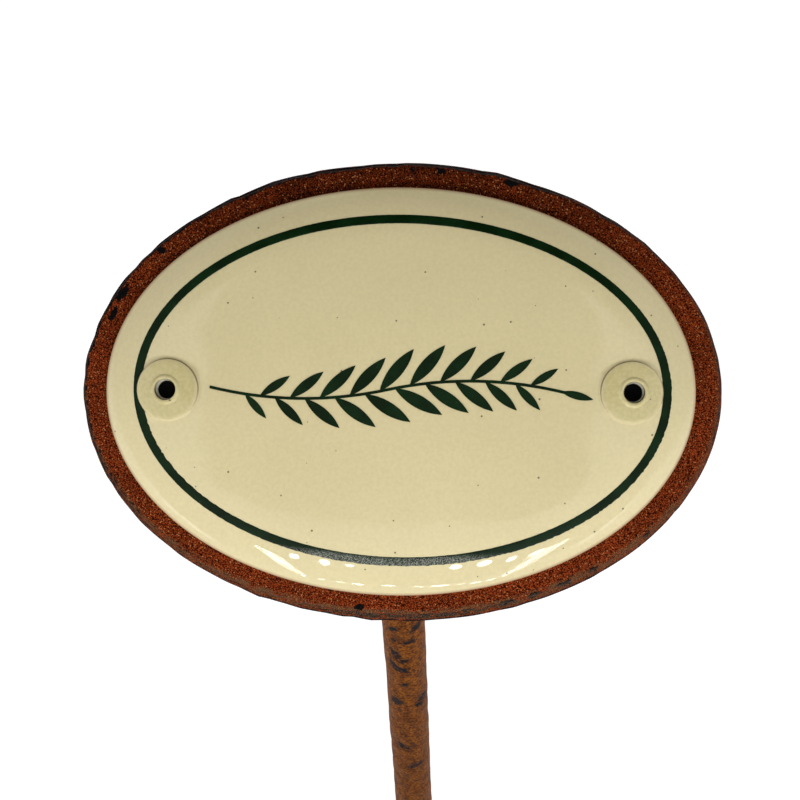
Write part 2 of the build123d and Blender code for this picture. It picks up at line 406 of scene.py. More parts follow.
def plate_places():
    """Insets from the front or back outline, and depths behind the face, of the plate's rows: over the face,
    first coarse and then fine, round the front edge on a quadratic curve, down the sloping side, round the
    back edge and over the back."""
    over = np.concatenate([np.geomspace(0.034, 0.0072, 5), np.linspace(0.0066, arris_round, 22)])
    turn = np.linspace(0, 1, 6)[1:-1]
    slope = np.linspace(arris_round, plate_thickness - arris_round, 9)
    rounding = arris_round * (1 - turn) ** 2
    inset = np.concatenate([over, rounding, np.zeros(len(slope)), rounding[::-1], over[::-1]])
    front_round, back_round = arris_round * turn**2, plate_thickness - arris_round * turn[::-1] ** 2
    depth = np.concatenate([np.zeros(len(over)), front_round, slope, back_round,
                            np.full(len(over), plate_thickness)])
    return inset, depth


def plate_rings():
    """Points of the plate: ovals that are inset from an outline, which grows from the front to the back and
    moves down a little, less the hammered depth near the edge. Where it is hammered, the face dips too."""
    inset, depth = plate_places()
    inset, angle = np.meshgrid(inset, full_turn(plate_columns), indexing="ij")
    depth = np.broadcast_to(depth[:, None], inset.shape)
    share = depth / plate_thickness
    near = np.clip(1 - inset / hammer_reach, 0, 1)
    cut = hammered(angle, share) * near
    half_width = plate_half_width - edge_run * (1 - share) - inset - cut
    half_height = plate_half_height - (edge_run + edge_run_lower) / 2 * (1 - share) - inset - cut
    middle = (edge_run_lower - edge_run) / 2 * (1 - share)
    dip = hammer_dip * cut * near * np.where(share < 0.5, -1, 1)
    x, up = half_width * np.cos(angle), middle + half_height * np.sin(angle)
    return x, up, -depth + dip, inset, share


def rust_coat():
    """Speckled rust-brown powder coat: dark brown broken by fine orange grains and rarer pale ones, and
    darker towards the plate's upper margin, which is painted shade. Black scale shows in ragged patches
    where the piece's black_scale is high. Along the lower edges the coat turns tan, which is wear with a
    painted highlight, and on the lower cut edge the coat is paler and the scale has pale flecks, which is
    painted light. There the scale lies in streaks along the rim, which rim_place tells."""
    paint = material("speckled_rust_coat")
    at = paint.place()
    grain = paint.noise(at, 0.00016, 2, 0.7)
    coarse = paint.noise(at, 0.0006, 2, 0.5)
    cloud = paint.noise(at, 0.007)
    ragged = paint.noise(at, 0.0010, 4, 0.65)
    rim = paint.stored("rim_place", 1)
    rim = paint.node("ShaderNodeVectorMath", {"operation": "MULTIPLY"}, {0: rim, 1: (0.2, 1, 1)})
    streak = paint.noise(rim, 0.00045)
    dust = paint.node("ShaderNodeTexVoronoi", None, {"Vector": at, "Scale": 2200.0})
    speck = paint.rise(dust, 0.32, 0.14) * paint.rise(coarse, 0.43, 0.54)
    fine = paint.node("ShaderNodeTexVoronoi", None, {"Vector": at, "Scale": 4000.0})
    upper = paint.stored("upper_edge")
    black_share = paint.stored("black_scale")
    worn = paint.stored("worn_edge")
    # Painted light on the lower cut edge: a paler coat and pale flecks in its scale
    on_side = paint.stored("on_side")
    lit = paint.rise(grain - fine * 0.35, 0.22, 0.52)
    brown = paint.mix(lit, (0.012, 0.0018, 0.0004, 1), (0.330, 0.054, 0.0110, 1))
    # Painted shade darkens the coat towards the upper margin, and painted light lightens it on the lower cut
    # edge
    shade = paint.rise(cloud, 0.25, 0.75, 0.8, 1.12) - upper * 0.42 + on_side * 0.1
    brown = paint.tint(brown, shade)
    brown = paint.mix(speck * 0.8, brown, (0.46, 0.19, 0.070, 1))
    # Tan along the lower edges: wear with a painted highlight
    rubbed = paint.mix(paint.rise(grain, 0.35, 0.7), (0.030, 0.012, 0.005, 1), (0.20, 0.098, 0.044, 1))
    brown = paint.mix(worn * paint.rise(streak, 0.35, 0.6), brown, rubbed)
    black = paint.mix(paint.rise(grain, 0.45, 0.75), (0.002, 0.002, 0.0025, 1), (0.012, 0.010, 0.009, 1))
    # Pale flecks in the scale of the lower cut edge: painted light
    black = paint.mix(on_side * paint.rise(grain, 0.48, 0.62), black, (0.13, 0.083, 0.048, 1))
    uneven = ragged + (streak - ragged) * on_side
    bare = paint.rise(black_share * 0.62 + uneven, 0.86, 0.96)
    fleck = paint.rise(ragged + cloud * 0.3, 0.85, 0.88)
    return paint.finish({
        "Base Color": paint.mix(bare.larger(fleck), brown, black),
        "Roughness": 0.55 + grain * 0.25,
        "Specular IOR Level": 0.02,
        "Normal": paint.bump(grain + coarse * 0.8 + ragged * 0.6, 0.00012),
    })


plate_x, plate_up, plate_out, plate_inset, plate_share = plate_rings()
plate_points, plate_faces = closed_skin(on_face(plate_x, plate_up, plate_out))
plate_piece = skin_piece("hammered_plate", plate_points, plate_faces, "backing_plate",
                         rust_coat())

# How much of the black scale shows: over the cut edge, on a line along the back arris, on the front arris,
# and on the face in soft patches
plate_angle = np.arctan2(plate_up, plate_x)
plate_front = plate_share < 0.5
back_line = np.clip((plate_share - back_line_from) / back_line_run, 0, 1) * (plate_inset < arris_round)
side_share = np.clip(side_fade * (1 - np.abs(plate_share - 0.5) / side_reach), 0, 1) * (1 - back_line)
front_arris = bell(plate_inset, front_arris_width) * (plate_share < 0.1)
knots, edge_shares, arris_shares = np.array(rim_shares).T
side_scale = side_share * np.interp(np.degrees(plate_angle), knots, edge_shares)
arris_scale = front_arris * np.interp(np.degrees(plate_angle), knots, arris_shares)
black_scale = np.maximum(np.maximum(side_scale, back_line_share * back_line), arris_scale)
for patch_x, patch_up, patch_long, patch_across in black_patches:
    toward = atan2(patch_up / plate_half_height, patch_x / plate_half_width)
    slope = atan2(plate_half_height * cos(toward), -plate_half_width * sin(toward))
    off_x, off_up = 1000 * plate_x - patch_x, 1000 * plate_up - patch_up
    patch = soft_patch(off_x, off_up, slope, patch_long, patch_across) * plate_front
    black_scale = np.maximum(black_scale, patch)

# On the lower side the front arris and the cut edge turn tan, which is wear with a painted highlight, and
# the
#  cut edge is paler, which is painted light. Each list of values ends with those of the two middle points of
#  the skin
on_side = side_share * np.clip(side_lower_from - side_lower_rise * np.sin(plate_angle), 0, 1)
worn_arris = bell(plate_inset - arris_round / 2, worn_width) * plate_front
worn_arris = worn_arris * np.clip(arris_lower_from - np.sin(plate_angle), 0, 1)
for name, values in {
    # Painted shade: the coat darkens towards the plate's upper margin
    "upper_edge": np.clip((plate_up - dark_margin_from) / dark_margin_run, 0, 1),
    "black_scale": black_scale,
    # Wear with a painted highlight along the lower front arris and cut edge
    "worn_edge": np.clip(worn_arris + side_worn * on_side, 0, 1),
    # Painted light on the lower cut edge, where its scale also lies in streaks
    "on_side": on_side,
}.items():
    attribute(plate_piece, name, np.append(values, [0, 0]))
rim_along = np.abs(plate_angle) * (plate_half_width + plate_half_height) / 2
rim_place = np.stack([rim_along, plate_share * plate_thickness, plate_inset], -1)
attribute(plate_piece, "rim_place", np.concatenate([rim_place.reshape(-1, 3), np.zeros((2, 3))]))

# The welds
# Three beads of weld metal join the neck to the plate's back: one down each side and a short one over its
# end. Each was laid in one pass, which leaves crescent ripples, and was lacquered with the bar.
weld_radius = 0.0024
weld_sink_share = 0.5
weld_top_share = 0.33
weld_end_margin = 0.0015
weld_top_setback = 0.004
ripple_pitch = 0.0011
ripple_depth = 0.00016
weld_rows = 130
weld_columns = 48
weld_pole = 0.03


def weld_rings(half_length, along_x):
    """Points of a bead with domed ends: a round section carried along a line. Its radius closes as a half
    circle over each end, and is cut back between crescents, whose place runs ahead on the bead's crown."""
    steps = -np.cos(np.linspace(weld_pole, pi - weld_pole, weld_rows)) * (half_length + weld_radius)
    along, around = np.meshgrid(steps, full_turn(weld_columns), indexing="ij")
    over = np.clip(np.abs(along) - half_length, 0, None)
    radius = np.sqrt(np.clip(weld_radius**2 - over**2, 0, None))
    crescent = along / ripple_pitch + np.sin(around) ** 2
    radius = radius * (1 - ripple_depth / weld_radius * (1 - np.abs(np.sin(pi * crescent))))
    across, out = radius * np.cos(around), radius * np.sin(around)
    return (along, across, out) if along_x else (across, along, out)


def weld_paint():
    """Dark brown lacquer over weld metal, with a bluish-black heat stain in wide clouds."""
    paint = material("weld_lacquer")
    at = paint.place()
    grain = paint.noise(at, 0.0003)
    cloud = paint.noise(at, 0.003)
    brown = paint.mix(paint.rise(grain, 0.3, 0.7), (0.06, 0.018, 0.007, 1), (0.2, 0.07, 0.024, 1))
    stain = paint.mix(grain, (0.012, 0.012, 0.018, 1), (0.05, 0.045, 0.05, 1))
    return paint.finish({
        "Base Color": paint.mix(paint.rise(cloud, 0.5, 0.62), brown, stain),
        "Metallic": paint.rise(cloud, 0.55, 0.7, 0.0, 0.15),
        "Roughness": 0.45 + grain * 0.3,
        "Specular IOR Level": 0.08,
        "Normal": paint.bump(grain, 0.00008),
    })


weld_level = -plate_thickness - weld_sink_share * weld_radius
weld_low = corner_from_centre + bend_radius * tan(lean_back / 2) + weld_end_margin + weld_radius
weld_high = corner_from_centre + neck_length - weld_top_setback - weld_radius
weld_middle = (weld_low + weld_high) / 2
weld_half = (weld_high - weld_low) / 2
weld_finish = weld_paint()
beads = [
    ("weld_left", "weld_bead_left", -bar_radius, weld_middle, weld_half, False),
    ("weld_right", "weld_bead_right", bar_radius, weld_middle, weld_half, False),
    ("weld_top", "weld_bead_top", 0.0, corner_from_centre + neck_length, weld_top_share * bar_radius, True),
]
for bead_name, bead_node, bead_x, bead_up, bead_half, bead_across in beads:
    ring_x, ring_up, ring_out = weld_rings(bead_half, bead_across)
    bead_points, bead_faces = closed_skin(on_face(bead_x + ring_x, bead_up + ring_up, weld_level + ring_out))
    skin_piece(bead_name, bead_points, bead_faces, bead_node, weld_finish)


# The adhesive
# Three dabs of black construction adhesive, squeezed between the plate and the hollow back of the sign.
# They were laid by hand from a gun and have cured to dull rubber. They show only down the screw holes.
def adhesive_paint():
    """Black rubber, dull, with fine pits."""
    paint = material("cured_black_adhesive")
    grain = paint.noise(paint.place(), 0.0006)
    return paint.finish({
        "Base Color": paint.mix(grain, (0.002, 0.002, 0.0025, 1), (0.006, 0.006, 0.0065, 1)),
        "Roughness": 0.6 + grain * 0.3,
        "Specular IOR Level": 0.06,
        "Normal": paint.bump(grain, 0.0001),
    })


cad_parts["adhesive_dabs"].material_slots[0].material = adhesive_paint()


# The sign's steel
# A pressed sheet of low-carbon steel with a rolled rim, two raised seats and a collar drawn at each screw
# hole. It was pickled bare before it was enamelled, and the enamel covers it on every side.
def steel_paint():
    """Pickled sheet steel: pale grey with fine drawing lines up the sign."""
    paint = material("pickled_sheet_steel")
    lines = paint.noise(paint.place(stretch=(0.2, 4, 4)), 0.0008)
    return paint.finish({
        "Base Color": paint.mix(lines, (0.38, 0.38, 0.39, 1), (0.55, 0.55, 0.55, 1)),
        "Metallic": 1.0,
        "Roughness": 0.3 + lines * 0.25,
        "Normal": paint.bump(lines, 0.00003),
    })


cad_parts["sign_steel_core"].material_slots[0].material = steel_paint()


# The ground coat
# A thin blue-black enamel, fired onto both faces of the steel first, so that the cream coat holds. Only
# the sign's back shows it, and there it is sealed in behind the plate.
def ground_paint():
    """Blue-black enamel, glossy, with pale mottles where it is thin over the steel."""
    paint = material("blue_black_ground_enamel")
    mottle = paint.noise(paint.place(), 0.0025, 4, 0.6)
    thin = paint.rise(mottle, 0.45, 0.7)
    return paint.finish({
        "Base Color": paint.mix(thin, (0.006, 0.007, 0.013, 1), (0.03, 0.034, 0.05, 1)),
        "Roughness": 0.12 + mottle * 0.1,
        "Normal": paint.bump(mottle, 0.00004),
    })


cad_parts["sign_ground_coat"].material_slots[0].material = ground_paint()

# The cream coat
# The thick cream cover enamel, which was sprayed on wet and fired to a gloss. Surface tension rounds it
# over the sign's edge, at the foot and shoulder of the raised seats, and into a lip round each screw hole.
# It runs down into the holes and ends there. It is one closed shell with an outer and an inner skin.
cream_thickness = 0.00025
ground_thickness = 0.00012
steel_thickness = 0.00075
roll_width = 0.0095
roll_radius = 0.0179
rim_land = 0.0005
edge_round = 0.00022
seat_inset = 0.011
seat_radius = 0.0052
seat_height = 0.00045
seat_blend = 0.00016
seat_crown = 0.00022
hole_offset = 0.00035
hole_radius = 0.0018
throat_radius = 0.0014
lip_radius = 0.00245
lip_height = 0.00030
collar_length = 0.0011
sheet_thickness = cream_thickness + 2 * ground_thickness + steel_thickness
land_angle = asin((roll_width - rim_land) / (roll_radius - sheet_thickness))
field_height = roll_radius - (roll_radius - sheet_thickness) * cos(land_angle)
roll_centre = field_height - roll_radius
seat_top = field_height + seat_height
collar_foot = field_height - sheet_thickness - collar_length
seat_x = sign_half_width - seat_inset
hole_x = seat_x + hole_offset
cream_columns = 384
wall_rows = 2
corner_rows = 6
roll_rows = 27
field_rows = 26
window_columns = 20
window_low = wall_rows + corner_rows + 9
window_high = wall_rows + corner_rows + roll_rows + 5
lead_rings = 5
foot_rings = 12
lip_rings = 15
top_rings = np.array([0.88, 0.79, 0.7, 0.62, 0.56, 0.52])
funnel_rings = np.array([0.03, 0.07, 0.12, 0.18, 0.26, 0.36, 0.48, 0.6, 0.68, 0.74, 0.8, 0.9, 1])
lip_skirt = 0.00005
lip_turn = 0.9 * pi
lip_fullness = 0.7
newton_steps = 7
seat_edge_fade = 0.0004
# Painted shade round each seat: a fine line at the crease and a soft band just inside it
crease_width = 0.00013
crease_shade_width = 0.00045
crease_shade_inside = 0.0003
crease_shade_share = 0.14
hole_edge_slack = 0.00006
# How far down a hole its painted light fades in, and where the painted shade of its throat begins
down_hole_run = 0.0006
throat_from = 0.0016
# A dark line inside each hole's mouth: its depth, its width, and its weights outward and downward
thin_edge_depth = 0.0003
thin_edge_width = 0.0005
thin_edge_outward = 0.7
thin_edge_lower = 0.6
crease_upper = 0.75
crease_inward = 0.65
least_shade = 0.15
# Painted shade at the foot of the rim's wall, brown with the plate's bounce light: its top and its fade
rim_foot_top = 0.00145
rim_foot_fade = 0.00025


def inset_of(x, up):
    """How far a place on the sign lies inside its edge: the inset d of the oval with half axes less d that
    passes through it. Newton's method finds it. Places well inside the flat field are held at a bound."""
    bound = 1.3 * roll_width
    inset = np.zeros(np.broadcast(x, up).shape)
    for _ in range(newton_steps):
        wide, high = sign_half_width - inset, sign_half_height - inset
        miss = (x / wide) ** 2 + (up / high) ** 2 - 1
        slope = 2 * x**2 / wide**3 + 2 * up**2 / high**3
        inset = np.clip(inset - miss / np.maximum(slope, 1), 0, bound)
    return inset


def dome_height(x, up, depth=0.0):
    """Height above the plate of a skin of the sign: the roll's arc less the skin's depth near the edge, and
    the flat field inside it."""
    radius = roll_radius - depth
    reach = np.clip(roll_width - inset_of(x, up), 0, roll_width - depth)
    return roll_centre + np.sqrt(radius**2 - reach**2)


def rim_section(depth):
    """Insets and heights of a skin's section, from the plate up: a straight wall, a corner rounded as a
    quadratic curve, and the roll's arc up to the flat field."""
    radius = roll_radius - depth
    first_reach = roll_width - depth - edge_round
    angle = np.linspace(asin(first_reach / radius), 0, roll_rows)
    roll = np.stack([roll_width - radius * np.sin(angle), roll_centre + radius * np.cos(angle)], 1)
    corner = np.array([depth, roll_centre + sqrt(radius**2 - (roll_width - depth) ** 2)])
    below = corner - [0, edge_round]
    share = np.linspace(0, 1, corner_rows + 1)[:-1, None]
    bend = (1 - share) ** 2 * below + 2 * share * (1 - share) * corner + share**2 * roll[0]
    wall = np.linspace([depth, 0], below, wall_rows + 1)[:-1]
    return np.concatenate([wall, bend, roll])


def seat_rings(depth):
    """The rings of a seat from the dome inwards: radius, share of the way up from the dome to the seat's
    top, height above that top, and share of the way from the seat's middle to the hole's. The foot rises on
    a smooth step, the top is crowned as a parabola, the lip swells as a sine, and the funnel narrows down to
    the collar's foot. The inner skin is flat, a skin's depth lower, and passes outside the funnel."""
    foot = np.linspace(seat_radius + seat_blend, seat_radius - seat_blend, foot_rings)
    climb = np.linspace(0, 1, foot_rings)
    climb = climb**2 * (3 - 2 * climb)
    top = top_rings * seat_radius
    lip = np.linspace(lip_radius + lip_skirt, hole_radius, lip_rings)
    swell = lip_height * np.sin(np.linspace(0, lip_turn, lip_rings)) ** lip_fullness
    funnel = hole_radius + (throat_radius - hole_radius) * funnel_rings
    sunk = swell[-1] * (1 - funnel_rings) + (collar_foot - seat_top - seat_crown) * funnel_rings
    radius = np.concatenate([foot, top, lip, funnel])
    rise = np.append(climb, np.ones(len(radius) - foot_rings))
    above = np.concatenate([np.zeros(len(foot) + len(top)), swell, sunk])
    above = above + seat_crown * (1 - (np.minimum(radius, seat_radius) / seat_radius) ** 2)
    toward_hole = np.clip((top[0] - radius) / (top[0] - lip[0]), 0, 1)
    if depth:
        widths = [hole_radius, lip_radius, top[0], foot[0]]
        radius = radius + depth * np.interp(radius, widths, [1, 0.6, -1, -1])
        above = np.where(above < 0, above, -depth)
    return radius, rise, above, toward_hole


def cream_skin(depth):
    """Places of one skin of the coat. Ovals run from the plate up the rim and then shrink to the middle of
    the field. At each seat a window of that grid is left out, and rings lead from its border to a circle,
    over the seat and down the hole. The first value is the grid, and the others are the two seats."""
    section = rim_section(depth)
    shrink = np.linspace(1, 0, field_rows + 1)[1:-1]
    wide = np.concatenate([sign_half_width - section[:, 0], (sign_half_width - roll_width) * shrink])
    high = np.concatenate([sign_half_height - section[:, 0], (sign_half_height - roll_width) * shrink])
    level = np.concatenate([section[:, 1], np.full(len(shrink), field_height - depth)])
    wide, high, level = wide[:, None], high[:, None], level[:, None]
    angle = full_turn(cream_columns)
    grid = np.stack(np.broadcast_arrays(wide * np.cos(angle), high * np.sin(angle), level), -1)
    radius, rise, above, toward_hole = seat_rings(depth)
    lead = np.linspace(0, 1, lead_rings + 2)[1:-1, None]
    climb, above = [np.append(np.zeros(lead_rings), part)[:, None] for part in (rise, above)]
    seats = []
    for side, border in zip((1, -1), window_borders()):
        outside = grid.reshape(-1, 3)[border]
        bearing = np.arctan2(outside[:, 1], outside[:, 0] - side * seat_x)
        middle = side * (seat_x + (hole_x - seat_x) * toward_hole)
        circle_x = middle[:, None] + radius[:, None] * np.cos(bearing)
        circle_up = radius[:, None] * np.sin(bearing)
        x = np.concatenate([outside[:, 0] + (circle_x[0] - outside[:, 0]) * lead, circle_x])
        up = np.concatenate([outside[:, 1] + (circle_up[0] - outside[:, 1]) * lead, circle_up])
        height = dome_height(x, up, depth) * (1 - climb) + (seat_top + above) * climb
        seats.append(np.stack([x, up, height], -1))
    return grid, seats


def window_borders():
    """The numbers of the grid's points round each seat's window, as one ring that starts at a corner. The
    window's rows run from window_low to window_high."""
    borders = []
    for middle in (0, cream_columns // 2):
        columns = (np.arange(-window_columns, window_columns + 1) + middle) % cream_columns
        rows = np.arange(window_low, window_high + 1) * cream_columns
        ring = [rows[0] + columns[:-1], rows[:-1] + columns[-1]]
        ring += [rows[-1] + columns[:0:-1], rows[:0:-1] + columns[0]]
        borders.append(np.concatenate(ring))
    return borders


def cream_faces(rows, ring_count):
    """Faces of one skin, numbered as its grid, its middle point, and then its seats' rings: the grid's
    quads outside the windows, a fan round the middle, and quads from each border over the rings."""
    quads = ring_faces(rows, cream_columns).reshape(rows - 1, cream_columns, 4)
    keep = np.ones((rows - 1, cream_columns), bool)
    for middle in (0, cream_columns // 2):
        columns = (np.arange(-window_columns, window_columns) + middle) % cream_columns
        keep[window_low:window_high, columns] = False
    start = rows * cream_columns
    inner = start - cream_columns + np.arange(cream_columns)
    fan = np.stack([inner, np.roll(inner, -1), np.full(cream_columns, start)], 1)
    found = [quads[keep]]
    ends = []
    start += 1
    for border in window_borders():
        rings = np.concatenate([border, start + np.arange(ring_count * len(border))])
        found.append(rings[ring_faces(ring_count + 1, len(border))])
        ends.append(rings[-len(border):])
        start += ring_count * len(border)
    return np.concatenate(found), fan, ends


def cream_shell():
    """Points and faces of the closed coat: the outer skin, the inner skin turned round, and strips that
    join them along the foot of the wall and at the bottom of each hole."""
    grid, seats = cream_skin(0)
    quads, fan, ends = cream_faces(len(grid), len(seats[0]))
    places = []
    for depth in (0, cream_thickness):
        grid, seats = cream_skin(depth)
        middle = [[0, 0, field_height - depth]]
        places.append(np.concatenate([grid.reshape(-1, 3), middle, *[s.reshape(-1, 3) for s in seats]]))
    count = len(places[0])
    foot = np.arange(cream_columns)
    strips = [np.stack([foot, foot + count, np.roll(foot, -1) + count, np.roll(foot, -1)], 1)]
    for end in ends:
        strips.append(np.stack([end, np.roll(end, -1), np.roll(end, -1) + count, end + count], 1))
    quads = np.concatenate([quads, quads[:, ::-1] + count, *strips])
    fan = np.concatenate([fan, fan[:, ::-1] + count])
    used = np.unique(np.concatenate([quads.ravel(), fan.ravel()]))
    places = np.concatenate(places)[used]
    return places, [np.searchsorted(used, quads), np.searchsorted(used, fan)]


def cream_paint():
    """Cream enamel with a clear gloss. The tone drifts in wide soft clouds and a fine grain, and tiny dark
    pinholes are scattered over it. It is yellower and rougher on the seat tops. Painted shade darkens the
    crease round each seat, turns the foot of the rim brown with the plate's bounce light and blackens the
    throat of each hole, painted light makes the coat paler down each hole, and a dark line lies inside each
    hole's mouth, each as far as the piece's attribute for it is high. Its relief is a slow waviness, as a
    fired coat has."""
    paint = material("cream_cover_enamel")
    at = paint.place()
    cloud = paint.noise(at, 0.016, 2, 0.5)
    wave = paint.noise(at, 0.009, 1, 0.5)
    grain = paint.noise(at, 0.0006)
    cells = {"Vector": paint.stored("face_place", 1), "Scale": 210.0}
    settings = {"voronoi_dimensions": "2D"}
    distance = paint.node("ShaderNodeTexVoronoi", settings, cells)
    pick = paint.node("ShaderNodeTexVoronoi", settings, cells, 1)
    pick = paint.node("ShaderNodeSeparateColor", None, {0: pick})
    size = paint.rise(pick, 0.55, 1.0, 0.0, 0.045)
    hole = paint.rise(distance - size, 0.0, -0.012)
    tone = paint.mix(paint.rise(cloud, 0.3, 0.7), (0.586, 0.508, 0.291, 1), (0.602, 0.523, 0.301, 1))
    tone = paint.tint(tone, paint.rise(grain, 0.25, 0.75, 0.95, 1.03))
    seat = paint.stored("seat_top")
    seat_grain = paint.rise(grain, 0.35, 0.65)
    seat_tone = paint.mix(seat_grain, (0.468, 0.402, 0.192, 1), (0.520, 0.452, 0.232, 1))
    tone = paint.mix(seat, tone, seat_tone)
    for name, share, colour in (
        # Painted shade in the crease round each seat
        ("seat_crease", 0.9, (0.12, 0.085, 0.028, 1)),
        # Painted shade at the rim's foot, brown with the plate's bounce light
        ("rim_foot", 0.8, (0.30, 0.15, 0.07, 1)),
        # Painted light: down each hole the coat is paler than the cream
        ("down_hole", 0.8, (0.88, 0.86, 0.77, 1)),
        # A dark line inside each hole's mouth
        ("thin_edge", 1.0, (0.012, 0.008, 0.004, 1)),
        # Painted shade: black in the throat of each hole
        ("throat", 1.0, (0.004, 0.004, 0.004, 1)),
    ):
        tone = paint.mix(paint.stored(name) * share, tone, colour)
    relief = wave * 0.05 + grain * 0.0001 + seat * grain * 0.024 - hole * 0.03
    return paint.finish({
        "Base Color": paint.mix(hole * 0.85, tone, (0.06, 0.035, 0.015, 1)),
        "Roughness": 0.018 + grain * 0.01 + hole * 0.4,
        "Normal": paint.bump(relief, 0.0006),
    })


cream_places, cream_groups = cream_shell()
cream_piece = skin_piece("cream_coat", on_face(*cream_places.T), cream_groups, "sign_cream_enamel",
                         cream_paint())
cream_x, cream_up, cream_out = cream_places.T
past_hole, past_seat = np.abs(cream_x) - hole_x, np.abs(cream_x) - seat_x
from_hole, from_seat = np.hypot(past_hole, cream_up), np.hypot(past_seat, cream_up)
below_seat = seat_top - cream_out
in_hole = from_hole < hole_radius + hole_edge_slack

# Both are painted on one side only: the dark line inside a hole's mouth on its outer and lower side, and
#  the painted shade of the crease round a seat on its upper side and the side towards the sign's middle
outward = past_hole / np.maximum(from_hole, throat_radius)
facing = np.clip(least_shade + thin_edge_outward * outward - thin_edge_lower * cream_up / hole_radius, 0, 1)
toward_shade = (crease_upper * cream_up - crease_inward * past_seat) / np.maximum(from_seat, hole_radius)
in_shade = np.clip(least_shade + toward_shade, 0, 1)
crease_line = bell(from_seat - seat_radius, crease_width)
crease_shade = crease_shade_share * bell(from_seat - seat_radius + crease_shade_inside, crease_shade_width)
for name, values in {
    "face_place": cream_places,
    "seat_top": np.clip((seat_radius - from_seat) / seat_edge_fade, 0, 1),
    # Painted shade in the crease round each seat
    "seat_crease": np.maximum(crease_line, crease_shade) * in_shade,
    # Painted light down each hole
    "down_hole": in_hole * np.clip(below_seat / down_hole_run, 0, 1),
    # Painted shade in the throat of each hole
    "throat": in_hole * np.clip((below_seat - throat_from) / down_hole_run, 0, 1),
    # Painted shade at the rim's foot, brown with the plate's bounce light
    "rim_foot": np.clip((rim_foot_top - cream_out) / rim_foot_fade, 0, 1) * (from_hole > lip_radius),
    # A dark line inside each hole's mouth
    "thin_edge": bell(below_seat - thin_edge_depth, thin_edge_width) * facing * in_hole,
}.items():
    attribute(cream_piece, name, values)

# The border line
# A dark-green enamel line, printed on the cream coat with a transfer and fired in a last firing. It lies a
# little off the sign's middle and a little turned. The left seat stands in it and leaves only a sliver,
# and its edges are slightly ragged where the transfer did not settle on the roll.
print_thickness = 0.00006
line_width = 0.0015
line_inset = 0.00505
line_past_seat = 0.0011
print_shift = (0.00042, 0.00014)
print_turn = radians(-0.6)
line_half_width = seat_x + seat_radius + line_past_seat
line_half_height = sign_half_height - line_inset
line_columns = 1800
ragged_depth = 0.00005
ragged_seed = 5
ragged_least = 0.35
ragged_outside = 1.3
ragged_outside_turn = 0.9
ragged_inside = 1.5
ragged_inside_turn = 0.35
ragged_inside_power = 12
line_clearance = 0.4 * seat_blend
# Where the painted sheen lies: along the middle of the line's lower side, fading at its ends and inwards
dusty_middle = -0.0010
dusty_half_length = 0.0200
dusty_slant = 0.008
dusty_fade = 0.005
dusty_across = 1.05
dusty_across_fade = 0.4

# The line's rows, from its outer to its inner edge: share of its width, and height as a share of its
# thickness. The first and the last lie sunk in the cream, and the corners between are softened
line_section = [(0, -0.3), (0, 0.6), (0.06, 1), (0.3, 1), (0.5, 1), (0.7, 1), (0.94, 1), (1, 0.6), (1, -0.3)]
across_line, line_lift = np.array(line_section).T[:, :, None]


def line_places():
    """The line's rows from its outer to its inner edge, on ovals with smaller and smaller half axes. Its
    edges are shifted by fine seeded steps, the outer one most at the lower right and the inner one most at
    the left, and the inner edge keeps clear of the left seat."""
    pick = np.random.default_rng(ragged_seed)
    angle = full_turn(line_columns)
    steps = pick.uniform(-1, 1, (2, line_columns // 3))
    rough = [np.interp(angle, full_turn(line_columns // 3), row, period=2 * pi) for row in steps]
    rough_outer = ragged_least + ragged_outside * np.clip(np.cos(angle + ragged_outside_turn), 0, 1)
    toward_left = np.clip(np.cos(angle - pi - ragged_inside_turn), 0, 1)
    rough_inner = ragged_least + ragged_inside * toward_left**ragged_inside_power

    def place(inset):
        """Right and up of the oval at that inset, turned and then shifted as the transfer is."""
        x = (line_half_width - inset) * np.cos(angle)
        up = (line_half_height - inset) * np.sin(angle)
        turned_x = x * cos(print_turn) - up * sin(print_turn)
        turned_up = x * sin(print_turn) + up * cos(print_turn)
        return turned_x + print_shift[0], turned_up + print_shift[1]

    outer = ragged_depth * rough[0] * rough_outer
    inner = line_width + ragged_depth * rough[1] * rough_inner
    clear = seat_radius + line_clearance
    far = np.hypot(place(outer)[0] + seat_x, place(outer)[1])
    near = np.hypot(place(inner)[0] + seat_x, place(inner)[1])
    kept = np.where(near < clear, (far - clear) / np.maximum(far - near, 1e-9), 1)
    inner = outer + (inner - outer) * kept
    x, up = place(outer + (inner - outer) * across_line)
    return x, up, dome_height(x, up) + line_lift * print_thickness


def green_paint():
    """Dark-green printed enamel, glossy but less even than the cream: fine pinholes let a little of the
    cream show through, a fine relief breaks up its shine, and a painted sheen of pale fine grains lies
    on it where the piece's attribute for it is high."""
    paint = material("dark_green_printed_enamel")
    at = paint.place()
    grain = paint.noise(at, 0.00028)
    cloud = paint.noise(at, 0.004, 2, 0.5)
    thin = paint.rise(grain + cloud * 0.2, 0.80, 0.86)
    dusty = paint.stored("dusty")
    # Painted sheen: pale grains that stand in for the glints' light in the rough print
    dust = paint.rise(paint.noise(at, 0.00017, 3, 0.75), 0.45, 0.60) * dusty
    drift = paint.rise(cloud, 0.35, 0.65)
    green = paint.mix(drift, (0.0013, 0.0088, 0.0011, 1), (0.0024, 0.0155, 0.0030, 1))
    green = paint.mix(thin * 0.5, green, (0.10, 0.12, 0.07, 1))
    return paint.finish({
        "Base Color": paint.mix(dust, green, (0.250, 0.257, 0.222, 1)),
        "Roughness": 0.22 + grain * 0.16,
        "Specular IOR Level": 0.13,
        "Normal": paint.bump(grain, 0.00004),
    })


line_x, line_up, line_out = line_places()
line_points = on_face(line_x, line_up, line_out).reshape(-1, 3)
line_quads = ring_faces(len(line_section) + 1, line_columns) % len(line_points)
green_finish = green_paint()
line_piece = skin_piece("green_border_line", line_points, [line_quads], "sign_border_line",
                        green_finish)
